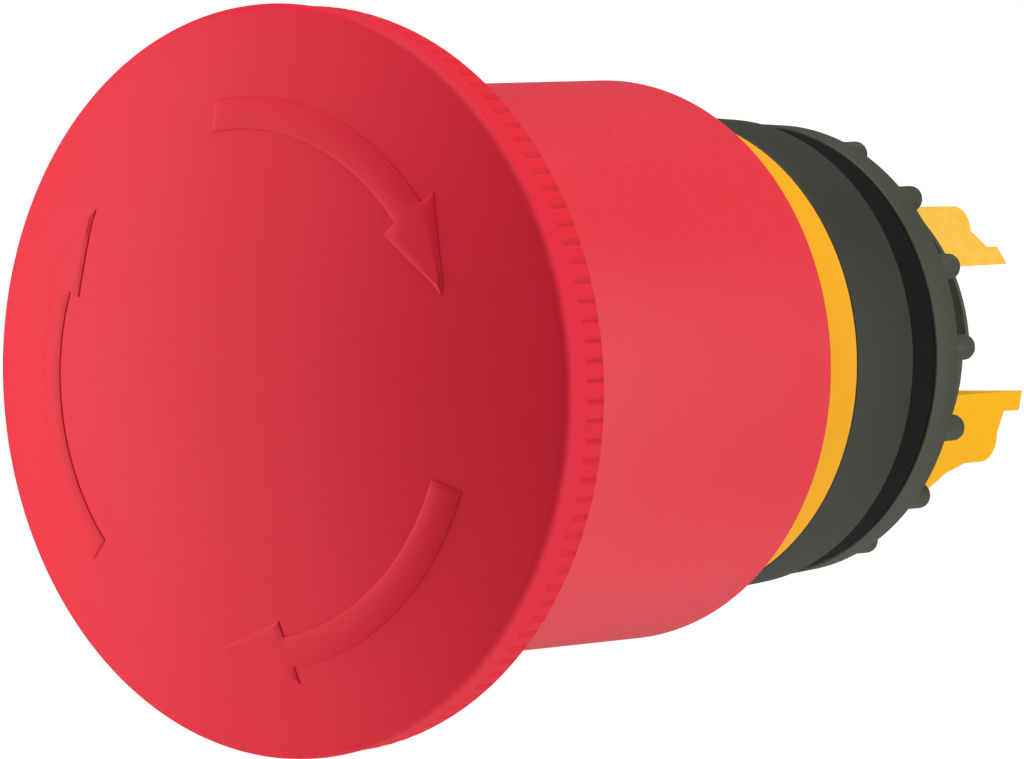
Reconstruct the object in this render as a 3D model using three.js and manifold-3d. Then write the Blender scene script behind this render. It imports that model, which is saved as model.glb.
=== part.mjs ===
import * as THREE from "three";
import { mergeVertices } from "three/addons/utils/BufferGeometryUtils.js";
import Module from "manifold-3d";

// Emergency stop actuator of the 22 mm panel series: mushroom head, turn to release.
// Millimetres. +Y runs along the axis from the head to the rear, +Z is up, and the
// origin is on the axis, in the plane of the panel face that the gasket sits on.

// Clearances and motion
const GAP = 0.3; // between pieces that seat on each other or slide
const RUNNING_GAP = 0.35; // between the plunger's large diameters and their bores
const TRAVEL = 5.0; // push of the head, from released to held in
const TURN_DEG = 45; // turn of the head that lets it out
const LATCH_SLOPE = 0.2; // sideways run of a latch pin for each millimetre of push

// Threaded bush
const THREAD_R = 11.0;
const THREAD_PITCH = 1.5;
const THREAD_DEPTH = 0.5;
const THREAD_TURNS = 5;
const BARREL_WALL = 1.1;
const BARREL_LENGTH = 8.3; // behind the panel face
const BARREL_CHAMFER = 0.4;
const FLANGE_STEP = 2.2; // least step from the thread to the flange, for the gasket
const FLANGE_THICKNESS = 4.6;
const NECK_STEP = 0.8; // least step from the neck to the flange
const BULKHEAD_THICKNESS = 2.3;
const BULKHEAD_INSET = 0.8; // of its rear face behind the flange's front face
const SPIGOT_LENGTH = 2.0;
const SPIGOT_WALL = 0.9;

// Gasket, collar, ring and nut
const GASKET_THICKNESS = 2.2;
const GASKET_WIDTH = 2.9;
const COLLAR_WALL = 1.6;
const COLLAR_TAPER = 0.4;
const COLLAR_LIP = 1.3; // in front of the bush's flange
const RING_INSET = 0.05; // ring under collar
const RING_OVERLAP = 2.9; // ring inside the skirt with the head out
const RING_CHAMFER = 0.6;
const NUT_THICKNESS = 2.5;
const NUT_WIDTH = 3.03;
const NUT_TAPER = 0.13;
const NUT_LUGS = 16;
const LUG_HEIGHT = 2.2;
const LUG_WIDTH = 1.5;
const LUG_DEPTH = 1.6;
const LUG_INSET = 0.35; // lug's outer face inside the nut's edge

// Skirt and hub
const SKIRT_LENGTH = 31.0;
const SKIRT_WALL = 1.55;
const SKIRT_OVER_RING = 0.95; // radial room between ring and skirt
const SKIRT_DRAFT = 0.15;
const WEB_DEPTH = 3.5; // of the web's face below the skirt's front edge
const WEB_THICKNESS = 2.0;
const HUB_WALL = 2.0;
const KEY_HEIGHT = 1.3;
const KEY_WIDTH = 1.6;
const KEY_END = 1.2; // from the ends of the hub to the key
const POST_R = 0.9; // stop for the torsion spring's outer leg
const POST_HEIGHT = 2.6;
const POST_ARM = 4.2; // from the torsion spring's coil to the post

// Cap
const RIM_OVERHANG = 5.1; // rim over skirt
const DOME_R = 56.0; // radius of the palm face's curve
const CAP_WALL = 2.2;
const RIM_WALL = 2.0;
const RIM_EDGE_R = 0.9;
const RIM_EDGE_START_DEG = -60; // where the palm face runs into the edge's round
const RIM_BAND = 3.9; // from the palm face's edge to the rear of the rim
const RIM_DRAFT = 0.2;
const SNAP_WALL = 1.4; // ring of the cap that snaps into the skirt
const SNAP_CLEAR = 0.5; // over the web

// Plunger
const STEM_R = 4.3;
const STEM_FLAT = 3.6; // from the axis to each of the stem's two flats
const STEM_PROUD = 4.6; // stem in front of the web
const STEM_CHAMFER = 0.4;
const STEM_SLOT = 1.4;
const STEM_SLOT_DEPTH = 1.7;
const CLIP_THICKNESS = 0.8;
const CLIP_GROOVE_DEPTH = 0.7;
const CLIP_WIDTH = 1.6;
const CLIP_MOUTH_DEG = 50;
const DISC_THICKNESS = 2.5;
const LEG_HALF_WIDTH = 4.0;
const FLARE = 0.7; // lower leg's web outside the bore's size, behind the barrel
const UPPER_LEG_INNER = 4.7;
const UPPER_LEG_OUTER = 8.6;
const UPPER_TANG_OUTER = 5.85;
const UPPER_SHOULDER = 9.3; // from the barrel's end to the shoulder
const UPPER_LENGTH = 13.0;
const UPPER_ROOT_SLANT = 2.0; // run of the slant from the barrel's bore up to the leg's outer face
const UPPER_STEP_RISE = 1.1; // foot of the shoulder above the tang
const UPPER_STEP_RUN = 1.7;
const UPPER_TIP_SLANT = 1.0;
const LOWER_LEG_INNER = 3.55;
const LOWER_LEG_OUTER = 7.95;
const LOWER_TANG_OUTER = 4.8;
const LOWER_WEB_OUTER = 9.45;
const LOWER_WEB_START = 4.0;
const LOWER_WEB_END = 8.0;
const LOWER_SHOULDER = 11.5;
const LOWER_LENGTH = 14.3;
const LOWER_STEP_RUN = 0.8;
const LOWER_TIP_SLANT = 0.4;
const SHOULDER_R = 1.3;

// Latch
const RAMP_EASE = 2.0; // ramp beyond the travel
const MOUTH_LENGTH = 2.0;
const SLEEVE_WALL = 1.0; // at the wide end of the ramp
const CARRIER_WALL = 0.8; // beside the pins' pockets
const PIN_R = 1.9;
const PIN_LENGTH = 3.4;
const PIN_BORE_R = 1.2;
const PIN_TIP = 1.2; // solid end of the pin beyond its bore
const PIN_CHAMFER = 0.5;
const PIN_POST_R = 0.55;
const PIN_POST_INSET = 0.7; // from the pin's inner end to the middle of its post
const PIN_POST_REACH = 1.9; // into the cam's window
const PIN_BACK_ROOM = 0.9; // behind a pin at rest
const POCKET_WALL = 0.8; // between the stem and the pockets
const CAM_DISC = 3.0;
const CAM_WINDOW_DEPTH = 2.2;
const CAM_SLEEVE_WALL = 1.4;
const CAM_WINDOW_EASE_DEG = 9;

// Springs and seals
const RETURN_SPRING_SOLID = 6.0; // length left for the coils with the head in
const RETURN_SPRING_EASE = 2.0; // from the spigot's bore to the coil
const RETURN_WIRE = 1.2;
const RETURN_TURNS = 4.5;
const LATCH_SPRING_R = 0.72;
const LATCH_WIRE = 0.3;
const LATCH_TURNS = 5;
const TORSION_EASE = 0.6; // from the stem to the coil
const TORSION_WIRE = 0.8;
const TORSION_TURNS = 2.25;
const TORSION_PITCH = 1.05;
const TORSION_BEND = 1.3; // from the coil to the straights of its legs
const TORSION_LEG_END = 1.4; // of the inner leg, from the axis
const WASHER_THICKNESS = 0.6;
const WASHER_MARGIN = 0.4; // beyond the return spring's coil
const STEM_SEAL_WIDTH = 1.7;
const STEM_SEAL_THICKNESS = 1.2;
const STEM_SEAL_LIP_WIDTH = 0.68;
const STEM_SEAL_LIP_FRONT = 0.36; // of the lip's edge behind the seal's front face
const STEM_SEAL_LIP_REAR = 0.72;
const WIPER_THICKNESS = 1.8;
const WIPER_LIP = 0.54; // width of the lip's edge
const WIPER_GROOVE_DEPTH = 0.8;

// Facets
const LARGE = 48;
const SMALL = 32;
const FINE = 16;
const DOME_STEPS = 9;
const COIL_STEPS = 16; // for each turn of a spring
const FINE_COIL_STEPS = 8;
const WIRE_SIDES = 6;
const FINE_WIRE_SIDES = 5;

// Radii that follow from the values above
const boreR = THREAD_R - BARREL_WALL;
const stemBoreR = STEM_R + GAP;
const pocketFloorX = stemBoreR + POCKET_WALL;
const pinInnerX = pocketFloorX + PIN_BACK_ROOM;
const pinTipX = pinInnerX + PIN_LENGTH;
const pinPostX = pinInnerX + PIN_POST_INSET;
const pinBoreDepth = PIN_LENGTH - PIN_TIP;
const mouthR = pinTipX + GAP;
const rampLength = TRAVEL + RAMP_EASE;
const rampEndR = mouthR + rampLength * LATCH_SLOPE;
const spigotR = rampEndR - GAP;
const spigotBoreR = spigotR - SPIGOT_WALL;
const neckR = rampEndR + SLEEVE_WALL;
const flangeR = Math.max(neckR + NECK_STEP, THREAD_R + FLANGE_STEP);
const collarBoreR = flangeR + GAP;
const collarR = collarBoreR + COLLAR_WALL;
const ringR = collarR - RING_INSET;
const ringBoreR = neckR + GAP;
const skirtBoreR = ringR + SKIRT_OVER_RING;
const skirtR = skirtBoreR + SKIRT_WALL;
const headR = skirtR + RIM_OVERHANG;
const nutBoreR = THREAD_R + GAP;
const hubR = stemBoreR + HUB_WALL;
const camSleeveBoreR = hubR + GAP;
const camSleeveR = camSleeveBoreR + CAM_SLEEVE_WALL;
const carrierR = mouthR - RUNNING_GAP;
const plungerR = boreR - RUNNING_GAP;
const returnSpringR = spigotBoreR - RETURN_SPRING_EASE;
const torsionR = STEM_R + GAP + TORSION_EASE + TORSION_WIRE / 2;
const postX = torsionR + POST_ARM;
const sealSeatR = stemBoreR + STEM_SEAL_WIDTH + GAP;
const domeInnerR = DOME_R - CAP_WALL;

// Stations along the axis, from the panel face towards the head
const gasketFrontY = -GASKET_THICKNESS;
const bushRearY = gasketFrontY - GAP;
const flangeFrontY = bushRearY - FLANGE_THICKNESS;
const bulkheadRearY = flangeFrontY + BULKHEAD_INSET;
const bulkheadFrontY = bulkheadRearY - BULKHEAD_THICKNESS;
const collarLipY = flangeFrontY - GAP;
const collarFrontY = collarLipY - COLLAR_LIP;
const ringRearY = collarFrontY - GAP;
const skirtRearY = ringRearY - TRAVEL;
const ringFrontY = skirtRearY - RING_OVERLAP;
const chamberRearY = bulkheadFrontY - GAP;
const springFrontY = chamberRearY - TRAVEL - RETURN_SPRING_SOLID;
const washerRearY = springFrontY - GAP;
const washerFrontY = washerRearY - WASHER_THICKNESS;
const carrierRearY = washerFrontY - GAP;
const pinY = carrierRearY - CARRIER_WALL - GAP - PIN_R;
const carrierFrontY = pinY - PIN_R - GAP - CARRIER_WALL;
const camRearY = carrierFrontY - GAP;
const camFrontY = camRearY - CAM_DISC;
const rampFrontY = pinY - PIN_R - RUNNING_GAP;
const sleeveFrontY = rampFrontY - MOUTH_LENGTH;
const hubRearY = camFrontY - GAP;
const skirtFrontY = skirtRearY - SKIRT_LENGTH;
const webFrontY = skirtFrontY + WEB_DEPTH;
const webRearY = webFrontY + WEB_THICKNESS;
const stemFrontY = webFrontY - STEM_PROUD;
const discFrontY = bulkheadRearY + GAP;
const discRearY = discFrontY + DISC_THICKNESS;
const domeInnerApexY = skirtFrontY - GAP - sag(domeInnerR, skirtR);
const apexY = domeInnerApexY - CAP_WALL;
const domeEdgeY = apexY + sag(DOME_R, headR - RIM_EDGE_R);
const rimRearY = domeEdgeY + RIM_BAND;

const wasm = await Module();
wasm.setup();

// Depth of a spherical face of radius R at the distance r from its axis.
function sag(R, r) {
  return R - Math.sqrt(R * R - r * r);
}

// Points of an arc about (cx, cy), angles in degrees.
function arc(cx, cy, r, from, to, steps) {
  const points = [];
  for (let i = 0; i <= steps; i++) {
    const a = ((from + ((to - from) * i) / steps) * Math.PI) / 180;
    points.push([cx + r * Math.cos(a), cy + r * Math.sin(a)]);
  }
  return points;
}

// A solid of revolution about Y from an outline of [radius, y] points, listed either way round.
function turned(outline, segments) {
  const onAxis = outline[0][0] === 0 && outline.at(-1)[0] === 0;
  const points = outline.map(([r, y]) => new THREE.Vector2(r, y));
  const facesOut = THREE.ShapeUtils.area(points) > 0;
  if (!facesOut) points.reverse();
  if (!onAxis) points.push(points[0].clone());
  return new THREE.LatheGeometry(points, segments);
}

// A tube about Y between two radii and two stations.
function tube(innerR, outerR, frontY, rearY, segments) {
  const outline = [
    [innerR, frontY],
    [outerR, frontY],
    [outerR, rearY],
    [innerR, rearY],
  ];
  return turned(outline, segments);
}

// A box from its lowest corner to its highest corner.
function block(low, high) {
  const size = high.map((v, i) => v - low[i]);
  const middle = high.map((v, i) => (v + low[i]) / 2);
  return new THREE.BoxGeometry(...size).translate(...middle);
}

// A shape drawn in (x, z), as seen from the head, made into a plate from rearY forwards.
function plate(shape, rearY, thickness) {
  const geometry = new THREE.ExtrudeGeometry(shape, {
    depth: thickness,
    bevelEnabled: false,
    curveSegments: FINE,
  });
  const basis = new THREE.Matrix4().makeBasis(
    new THREE.Vector3(1, 0, 0),
    new THREE.Vector3(0, 0, 1),
    new THREE.Vector3(0, -1, 0),
  );
  return geometry.applyMatrix4(basis).translate(0, rearY, 0);
}

// A round wire of the given thickness along a curve.
function wire(curve, thickness, steps, sides) {
  const section = new THREE.Shape();
  for (let i = 0; i < sides; i++) {
    const a = (2 * Math.PI * i) / sides;
    const point = [(thickness / 2) * Math.cos(a), (thickness / 2) * Math.sin(a)];
    if (i === 0) section.moveTo(...point);
    else section.lineTo(...point);
  }
  return new THREE.ExtrudeGeometry(section, { extrudePath: curve, steps });
}

// Points of a coil about Y from y0 to y1.
function coilPoints(radius, y0, y1, turns, startDeg, perTurn) {
  const points = [];
  const steps = Math.round(turns * perTurn);
  for (let i = 0; i <= steps; i++) {
    const t = i / steps;
    const a = (startDeg * Math.PI) / 180 + 2 * Math.PI * turns * t;
    const y = y0 + (y1 - y0) * t;
    points.push(new THREE.Vector3(radius * Math.cos(a), y, radius * Math.sin(a)));
  }
  return points;
}

function solid(geometry) {
  const bare = geometry.index ? geometry.toNonIndexed() : geometry.clone();
  for (const name of ["normal", "uv"]) bare.deleteAttribute(name);
  const merged = mergeVertices(bare, 1e-4);
  return new wasm.Manifold(
    new wasm.Mesh({
      numProp: 3,
      vertProperties: new Float32Array(merged.attributes.position.array),
      triVerts: new Uint32Array(merged.index.array),
    }),
  );
}

function geometryOf(made) {
  const mesh = made.getMesh();
  const geometry = new THREE.BufferGeometry();
  geometry.setAttribute("position", new THREE.BufferAttribute(mesh.vertProperties, 3));
  geometry.setIndex(new THREE.BufferAttribute(mesh.triVerts, 1));
  const flat = geometry.toNonIndexed();
  flat.computeVertexNormals();
  return flat;
}

// The base shape with every shape of added joined on and every shape of cut taken away.
function shaped(base, added, cut) {
  let made = solid(base);
  for (const piece of added) made = made.add(solid(piece));
  for (const piece of cut) made = made.subtract(solid(piece));
  return geometryOf(made);
}

const material = (color, roughness, metalness) =>
  new THREE.MeshStandardMaterial({ color, roughness, metalness });

function piece(name, geometry, look) {
  const mesh = new THREE.Mesh(geometry, look.clone());
  mesh.name = name;
  return mesh;
}

const RED = material(0xe23c50, 0.42, 0);
const YELLOW = material(0xf5b72a, 0.45, 0);
const BLACK = material(0x3c3d36, 0.5, 0);
const NATURAL = material(0xd8d4c6, 0.5, 0);
const RUBBER = material(0x1d201f, 0.75, 0);
const STEEL = material(0xb8bbbf, 0.3, 1);

// Cap: convex shell with a rim, and the ring that snaps into the skirt.
function palmCap() {
  const outerEdge = headR - RIM_EDGE_R;
  const snapR = skirtBoreR - GAP;
  const dome = [];
  for (let i = 0; i <= DOME_STEPS; i++) {
    const r = (outerEdge * i) / DOME_STEPS;
    dome.push([r, apexY + sag(DOME_R, r)]);
  }
  const edge = arc(outerEdge, domeEdgeY + RIM_EDGE_R, RIM_EDGE_R, RIM_EDGE_START_DEG, 0, 3);
  const rimBoreR = headR - RIM_DRAFT - RIM_WALL;
  const inner = (r) => [r, domeInnerApexY + sag(domeInnerR, r)];
  const underside = [rimBoreR, (rimBoreR + snapR) / 2, snapR].map(inner);
  const inside = [1, 0.75, 0.5, 0.25, 0].map((share) => inner(share * (snapR - SNAP_WALL)));
  const snapEndY = webFrontY - SNAP_CLEAR;
  return turned(
    [
      ...dome,
      ...edge,
      [headR - RIM_DRAFT, rimRearY],
      [rimBoreR, rimRearY],
      ...underside,
      [snapR, snapEndY],
      [snapR - SNAP_WALL, snapEndY],
      ...inside,
    ],
    LARGE,
  );
}

// Skirt: long drawn cylinder with a web, the hub that turns on the stem, and its two keys.
function palmSkirt() {
  const body = turned(
    [
      [skirtR, skirtFrontY],
      [skirtR - SKIRT_DRAFT, skirtRearY],
      [skirtBoreR, skirtRearY],
      [skirtBoreR, webRearY],
      [hubR, webRearY],
      [hubR, hubRearY],
      [stemBoreR, hubRearY],
      [stemBoreR, webFrontY],
      [skirtBoreR, webFrontY],
      [skirtBoreR, skirtFrontY],
    ],
    LARGE,
  );
  const keys = [-1, 1].map((side) => {
    const inner = side * (hubR - HUB_WALL / 2);
    const outer = side * (hubR + KEY_HEIGHT);
    return block(
      [-KEY_WIDTH / 2, webRearY + KEY_END, Math.min(inner, outer)],
      [KEY_WIDTH / 2, hubRearY - KEY_END, Math.max(inner, outer)],
    );
  });
  const postMiddleY = webFrontY + (WEB_THICKNESS / 2 - POST_HEIGHT) / 2;
  const post = new THREE.CylinderGeometry(
    POST_R,
    POST_R,
    POST_HEIGHT + WEB_THICKNESS / 2,
    FINE,
  ).translate(-postX, postMiddleY, 0);
  return shaped(body, [...keys, post], []);
}

// Release cam: disc with two windows for the pins' posts, and a sleeve keyed to the hub.
function releaseCam() {
  const body = turned(
    [
      [stemBoreR, camRearY],
      [carrierR, camRearY],
      [carrierR, camFrontY],
      [camSleeveR, camFrontY],
      [camSleeveR, webRearY + GAP],
      [camSleeveBoreR, webRearY + GAP],
      [camSleeveBoreR, camFrontY],
      [stemBoreR, camFrontY],
    ],
    SMALL,
  );
  const innerR = pinPostX - PIN_POST_R - GAP;
  const outerR = pinPostX + TRAVEL * LATCH_SLOPE + PIN_POST_R + GAP;
  const from = (-CAM_WINDOW_EASE_DEG * Math.PI) / 180;
  const to = ((TURN_DEG + CAM_WINDOW_EASE_DEG) * Math.PI) / 180;
  const windows = [0, Math.PI].map((turn) => {
    const sector = new THREE.Shape();
    sector.absarc(0, 0, outerR, from + turn, to + turn, false);
    sector.absarc(0, 0, innerR, to + turn, from + turn, true);
    return plate(sector, camRearY + GAP, CAM_WINDOW_DEPTH + GAP);
  });
  const keyways = [-1, 1].map((side) => {
    const inner = side * (camSleeveBoreR - GAP);
    const outer = side * (camSleeveR + GAP);
    return block(
      [-KEY_WIDTH / 2 - GAP, webRearY, Math.min(inner, outer)],
      [KEY_WIDTH / 2 + GAP, hubRearY - KEY_END + GAP, Math.max(inner, outer)],
    );
  });
  return shaped(body, [], [...windows, ...keyways]);
}

// Torsion spring: its inner leg sits in the stem's slot and its outer leg against the post.
function torsionSpring() {
  const rearY = webFrontY - GAP - CLIP_THICKNESS - GAP - TORSION_WIRE / 2;
  const frontY = rearY - TORSION_TURNS * TORSION_PITCH;
  const coil = coilPoints(torsionR, frontY, rearY, TORSION_TURNS, 90, COIL_STEPS);
  const innerLeg = [
    new THREE.Vector3(0, frontY, TORSION_LEG_END),
    new THREE.Vector3(0, frontY, torsionR - TORSION_BEND),
  ];
  const legZ = -POST_R - GAP - TORSION_WIRE / 2;
  const outerLeg = [
    new THREE.Vector3(-torsionR - TORSION_BEND, rearY, legZ),
    new THREE.Vector3(-postX - POST_R, rearY, legZ),
  ];
  const path = new THREE.CatmullRomCurve3([...innerLeg, ...coil, ...outerLeg]);
  return wire(path, TORSION_WIRE, Math.round((TORSION_TURNS + 1) * COIL_STEPS), WIRE_SIDES);
}

// Plunger: stem with flats, disc that guides it in the barrel, and the two stepped legs.
function plunger() {
  const grooveFrontY = webFrontY - GAP - CLIP_THICKNESS - GAP;
  const stem = turned(
    [
      [0, stemFrontY],
      [STEM_R - STEM_CHAMFER, stemFrontY],
      [STEM_R, stemFrontY + STEM_CHAMFER],
      [STEM_R, grooveFrontY],
      [STEM_R - CLIP_GROOVE_DEPTH, grooveFrontY],
      [STEM_R - CLIP_GROOVE_DEPTH, webFrontY],
      [STEM_R, webFrontY],
      [STEM_R, discFrontY],
      [plungerR, discFrontY],
      [plungerR, discRearY],
      [0, discRearY],
    ],
    LARGE,
  );
  const slot = block(
    [-STEM_SLOT / 2, stemFrontY - GAP, -STEM_R - GAP],
    [STEM_SLOT / 2, stemFrontY + STEM_SLOT_DEPTH, STEM_R + GAP],
  );
  const flatsFrontY = bulkheadFrontY - TRAVEL - GAP;
  const flats = [-1, 1].map((side) => {
    const inner = side * STEM_FLAT;
    const outer = side * (STEM_R + GAP);
    return block(
      [Math.min(inner, outer), flatsFrontY, -STEM_R],
      [Math.max(inner, outer), discFrontY, STEM_R],
    );
  });
  const envelope = solid(
    turned(
      [
        [0, discRearY - DISC_THICKNESS / 2],
        [plungerR, discRearY - DISC_THICKNESS / 2],
        [plungerR, BARREL_LENGTH + GAP],
        [boreR + FLARE, BARREL_LENGTH + GAP],
        [boreR + FLARE, BARREL_LENGTH + LOWER_LENGTH + GAP],
        [0, BARREL_LENGTH + LOWER_LENGTH + GAP],
      ],
      LARGE,
    ),
  );
  let made = solid(stem);
  for (const cut of [slot, ...flats]) made = made.subtract(solid(cut));
  for (const outline of [upperLeg(), lowerLeg()]) {
    made = made.add(solid(sideways(outline)).intersect(envelope));
  }
  return geometryOf(made);
}

// Side outline (y, z) of the upper leg: body, rounded shoulder, slanted step and pointed tang.
function upperLeg() {
  const shoulderY = BARREL_LENGTH + UPPER_SHOULDER;
  const tipY = BARREL_LENGTH + UPPER_LENGTH;
  return [
    [discRearY - DISC_THICKNESS / 2, UPPER_LEG_INNER],
    [tipY, UPPER_LEG_INNER],
    [tipY - UPPER_TIP_SLANT, UPPER_TANG_OUTER],
    [shoulderY + UPPER_STEP_RUN, UPPER_TANG_OUTER],
    [shoulderY, UPPER_TANG_OUTER + UPPER_STEP_RISE],
    ...arc(shoulderY - SHOULDER_R, UPPER_LEG_OUTER - SHOULDER_R, SHOULDER_R, 0, 90, 4),
    [BARREL_LENGTH + GAP + UPPER_ROOT_SLANT, UPPER_LEG_OUTER],
    [BARREL_LENGTH + GAP, boreR],
    [discRearY - DISC_THICKNESS / 2, boreR],
  ];
}

// Side outline of the lower leg, which has a slanting web outside the barrel.
function lowerLeg() {
  const shoulderY = BARREL_LENGTH + LOWER_SHOULDER;
  const tipY = BARREL_LENGTH + LOWER_LENGTH;
  return [
    [discRearY - DISC_THICKNESS / 2, -LOWER_LEG_INNER],
    [discRearY - DISC_THICKNESS / 2, -boreR],
    [BARREL_LENGTH + LOWER_WEB_START, -LOWER_WEB_OUTER],
    [BARREL_LENGTH + LOWER_WEB_END, -LOWER_LEG_OUTER],
    ...arc(shoulderY - SHOULDER_R, SHOULDER_R - LOWER_LEG_OUTER, SHOULDER_R, -90, 0, 4),
    [shoulderY + LOWER_STEP_RUN, -LOWER_TANG_OUTER],
    [tipY - LOWER_TIP_SLANT, -LOWER_TANG_OUTER],
    [tipY, -LOWER_LEG_INNER],
  ];
}

// A (y, z) outline made into a plate across the legs' width.
function sideways(outline) {
  const shape = new THREE.Shape(outline.map(([y, z]) => new THREE.Vector2(y, z)));
  const geometry = new THREE.ExtrudeGeometry(shape, {
    depth: 2 * LEG_HALF_WIDTH,
    bevelEnabled: false,
  });
  const basis = new THREE.Matrix4().makeBasis(
    new THREE.Vector3(0, 1, 0),
    new THREE.Vector3(0, 0, 1),
    new THREE.Vector3(1, 0, 0),
  );
  return geometry.applyMatrix4(basis).translate(-LEG_HALF_WIDTH, 0, 0);
}

// Circlip in the stem's groove, in front of the head's web.
function hubClip() {
  const innerR = STEM_R - CLIP_GROOVE_DEPTH + GAP;
  const outerR = innerR + CLIP_WIDTH;
  const half = (CLIP_MOUTH_DEG / 2) * (Math.PI / 180);
  const shape = new THREE.Shape();
  shape.absarc(0, 0, outerR, half, 2 * Math.PI - half, false);
  shape.absarc(0, 0, innerR, 2 * Math.PI - half, half, true);
  return plate(shape, webFrontY - GAP, CLIP_THICKNESS);
}

// Carrier: block on the stem with a pocket for each pin and a slot for each pin's post.
function latchCarrier() {
  const body = tube(stemBoreR, carrierR, carrierFrontY, carrierRearY, LARGE);
  const cuts = [];
  for (const side of [-1, 1]) {
    const length = carrierR + GAP - pocketFloorX;
    const pocket = new THREE.CylinderGeometry(PIN_R + GAP, PIN_R + GAP, length, FINE)
      .rotateZ(Math.PI / 2)
      .translate(side * (pocketFloorX + length / 2), pinY, 0);
    const inner = side * (pinPostX - PIN_POST_R - GAP);
    const outer = side * (pinPostX + TRAVEL * LATCH_SLOPE + PIN_POST_R + GAP);
    const slot = block(
      [Math.min(inner, outer), carrierFrontY - GAP, -PIN_POST_R - GAP],
      [Math.max(inner, outer), pinY, PIN_POST_R + GAP],
    );
    cuts.push(pocket, slot);
  }
  return shaped(body, [], cuts);
}

// Latch pin: cup that holds its spring, chamfered tip, and the post that the cam turns.
function latchPin(side) {
  const cup = turned(
    [
      [0, pinBoreDepth],
      [PIN_BORE_R, pinBoreDepth],
      [PIN_BORE_R, 0],
      [PIN_R, 0],
      [PIN_R, PIN_LENGTH - PIN_CHAMFER],
      [PIN_R - PIN_CHAMFER, PIN_LENGTH],
      [0, PIN_LENGTH],
    ],
    FINE,
  )
    .rotateZ(-Math.PI / 2)
    .translate(pinInnerX, pinY, 0);
  const wallMiddleY = pinY - (PIN_R + PIN_BORE_R) / 2;
  const postFrontY = camRearY - PIN_POST_REACH;
  const length = wallMiddleY - postFrontY;
  const post = new THREE.CylinderGeometry(PIN_POST_R, PIN_POST_R, length, FINE / 2);
  post.translate(pinPostX, postFrontY + length / 2, 0);
  const made = shaped(cup, [post], []);
  return side > 0 ? made : made.rotateY(Math.PI);
}

function latchSpring(side) {
  const from = pocketFloorX + GAP + LATCH_WIRE / 2;
  const to = pinInnerX + pinBoreDepth - GAP - LATCH_WIRE / 2;
  const points = coilPoints(LATCH_SPRING_R, from, to, LATCH_TURNS, 0, FINE_COIL_STEPS);
  const path = new THREE.CatmullRomCurve3(points);
  const steps = LATCH_TURNS * FINE_COIL_STEPS;
  const made = wire(path, LATCH_WIRE, steps, FINE_WIRE_SIDES).rotateZ(-Math.PI / 2);
  made.translate(0, pinY, 0);
  return side > 0 ? made : made.rotateY(Math.PI);
}

function returnSpring() {
  const rearY = chamberRearY - RETURN_WIRE / 2;
  const frontY = springFrontY + RETURN_WIRE / 2;
  const points = coilPoints(returnSpringR, rearY, frontY, RETURN_TURNS, 0, COIL_STEPS);
  const path = new THREE.CatmullRomCurve3(points);
  return wire(path, RETURN_WIRE, RETURN_TURNS * COIL_STEPS, WIRE_SIDES);
}

// Threaded bush: barrel, flange, bulkhead with the seal's seat, and the spigot for the sleeve.
function threadedBush() {
  const threadRearY = BARREL_LENGTH - BARREL_CHAMFER;
  const thread = [];
  for (let i = 0; i <= 2 * THREAD_TURNS; i++) {
    const onCrest = i % 2 === 0;
    const y = threadRearY - (i * THREAD_PITCH) / 2;
    thread.push([onCrest ? THREAD_R : THREAD_R - THREAD_DEPTH, y]);
  }
  const body = turned(
    [
      [boreR, BARREL_LENGTH],
      [THREAD_R - BARREL_CHAMFER, BARREL_LENGTH],
      ...thread,
      [THREAD_R, bushRearY],
      [flangeR, bushRearY],
      [flangeR, flangeFrontY],
      [neckR, flangeFrontY],
      [neckR, bulkheadFrontY],
      [spigotR, bulkheadFrontY],
      [spigotR, bulkheadFrontY - SPIGOT_LENGTH],
      [spigotBoreR, bulkheadFrontY - SPIGOT_LENGTH],
      [spigotBoreR, bulkheadFrontY],
      [sealSeatR, bulkheadFrontY],
      [sealSeatR, bulkheadFrontY + STEM_SEAL_THICKNESS + GAP],
      [stemBoreR, bulkheadFrontY + STEM_SEAL_THICKNESS + GAP],
      [stemBoreR, bulkheadRearY],
      [boreR, bulkheadRearY],
    ],
    LARGE,
  );
  const guideFrontY = bulkheadFrontY + STEM_SEAL_THICKNESS + GAP;
  const guides = [-1, 1].map((side) => {
    const inner = side * (STEM_FLAT + GAP);
    const outer = side * (stemBoreR + GAP);
    return block(
      [Math.min(inner, outer), guideFrontY, -STEM_R / 2],
      [Math.max(inner, outer), bulkheadRearY, STEM_R / 2],
    );
  });
  return shaped(body, guides, []);
}

// Latch sleeve: narrow mouth, then the ramp that the pins run out on.
function latchSleeve() {
  const grooveMiddleY = pinY;
  const grooveHalf = WIPER_THICKNESS / 2 + GAP;
  return turned(
    [
      [neckR, chamberRearY],
      [neckR, grooveMiddleY + grooveHalf],
      [neckR - WIPER_GROOVE_DEPTH, grooveMiddleY + grooveHalf],
      [neckR - WIPER_GROOVE_DEPTH, grooveMiddleY - grooveHalf],
      [neckR, grooveMiddleY - grooveHalf],
      [neckR, sleeveFrontY],
      [mouthR, sleeveFrontY],
      [mouthR, rampFrontY],
      [rampEndR, rampFrontY + rampLength],
      [rampEndR, chamberRearY],
    ],
    LARGE,
  );
}

function yellowRing() {
  return turned(
    [
      [ringBoreR, ringRearY],
      [ringR, ringRearY],
      [ringR, ringFrontY + RING_CHAMFER],
      [ringR - RING_CHAMFER, ringFrontY],
      [ringBoreR, ringFrontY],
    ],
    LARGE,
  );
}

// Collar: its front lip lies on the bush's flange.
function bezelCollar() {
  const lipBoreR = neckR + GAP;
  return turned(
    [
      [lipBoreR, collarFrontY],
      [collarR, collarFrontY],
      [collarR - COLLAR_TAPER, bushRearY],
      [collarBoreR, bushRearY],
      [collarBoreR, collarLipY],
      [lipBoreR, collarLipY],
    ],
    LARGE,
  );
}

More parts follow.
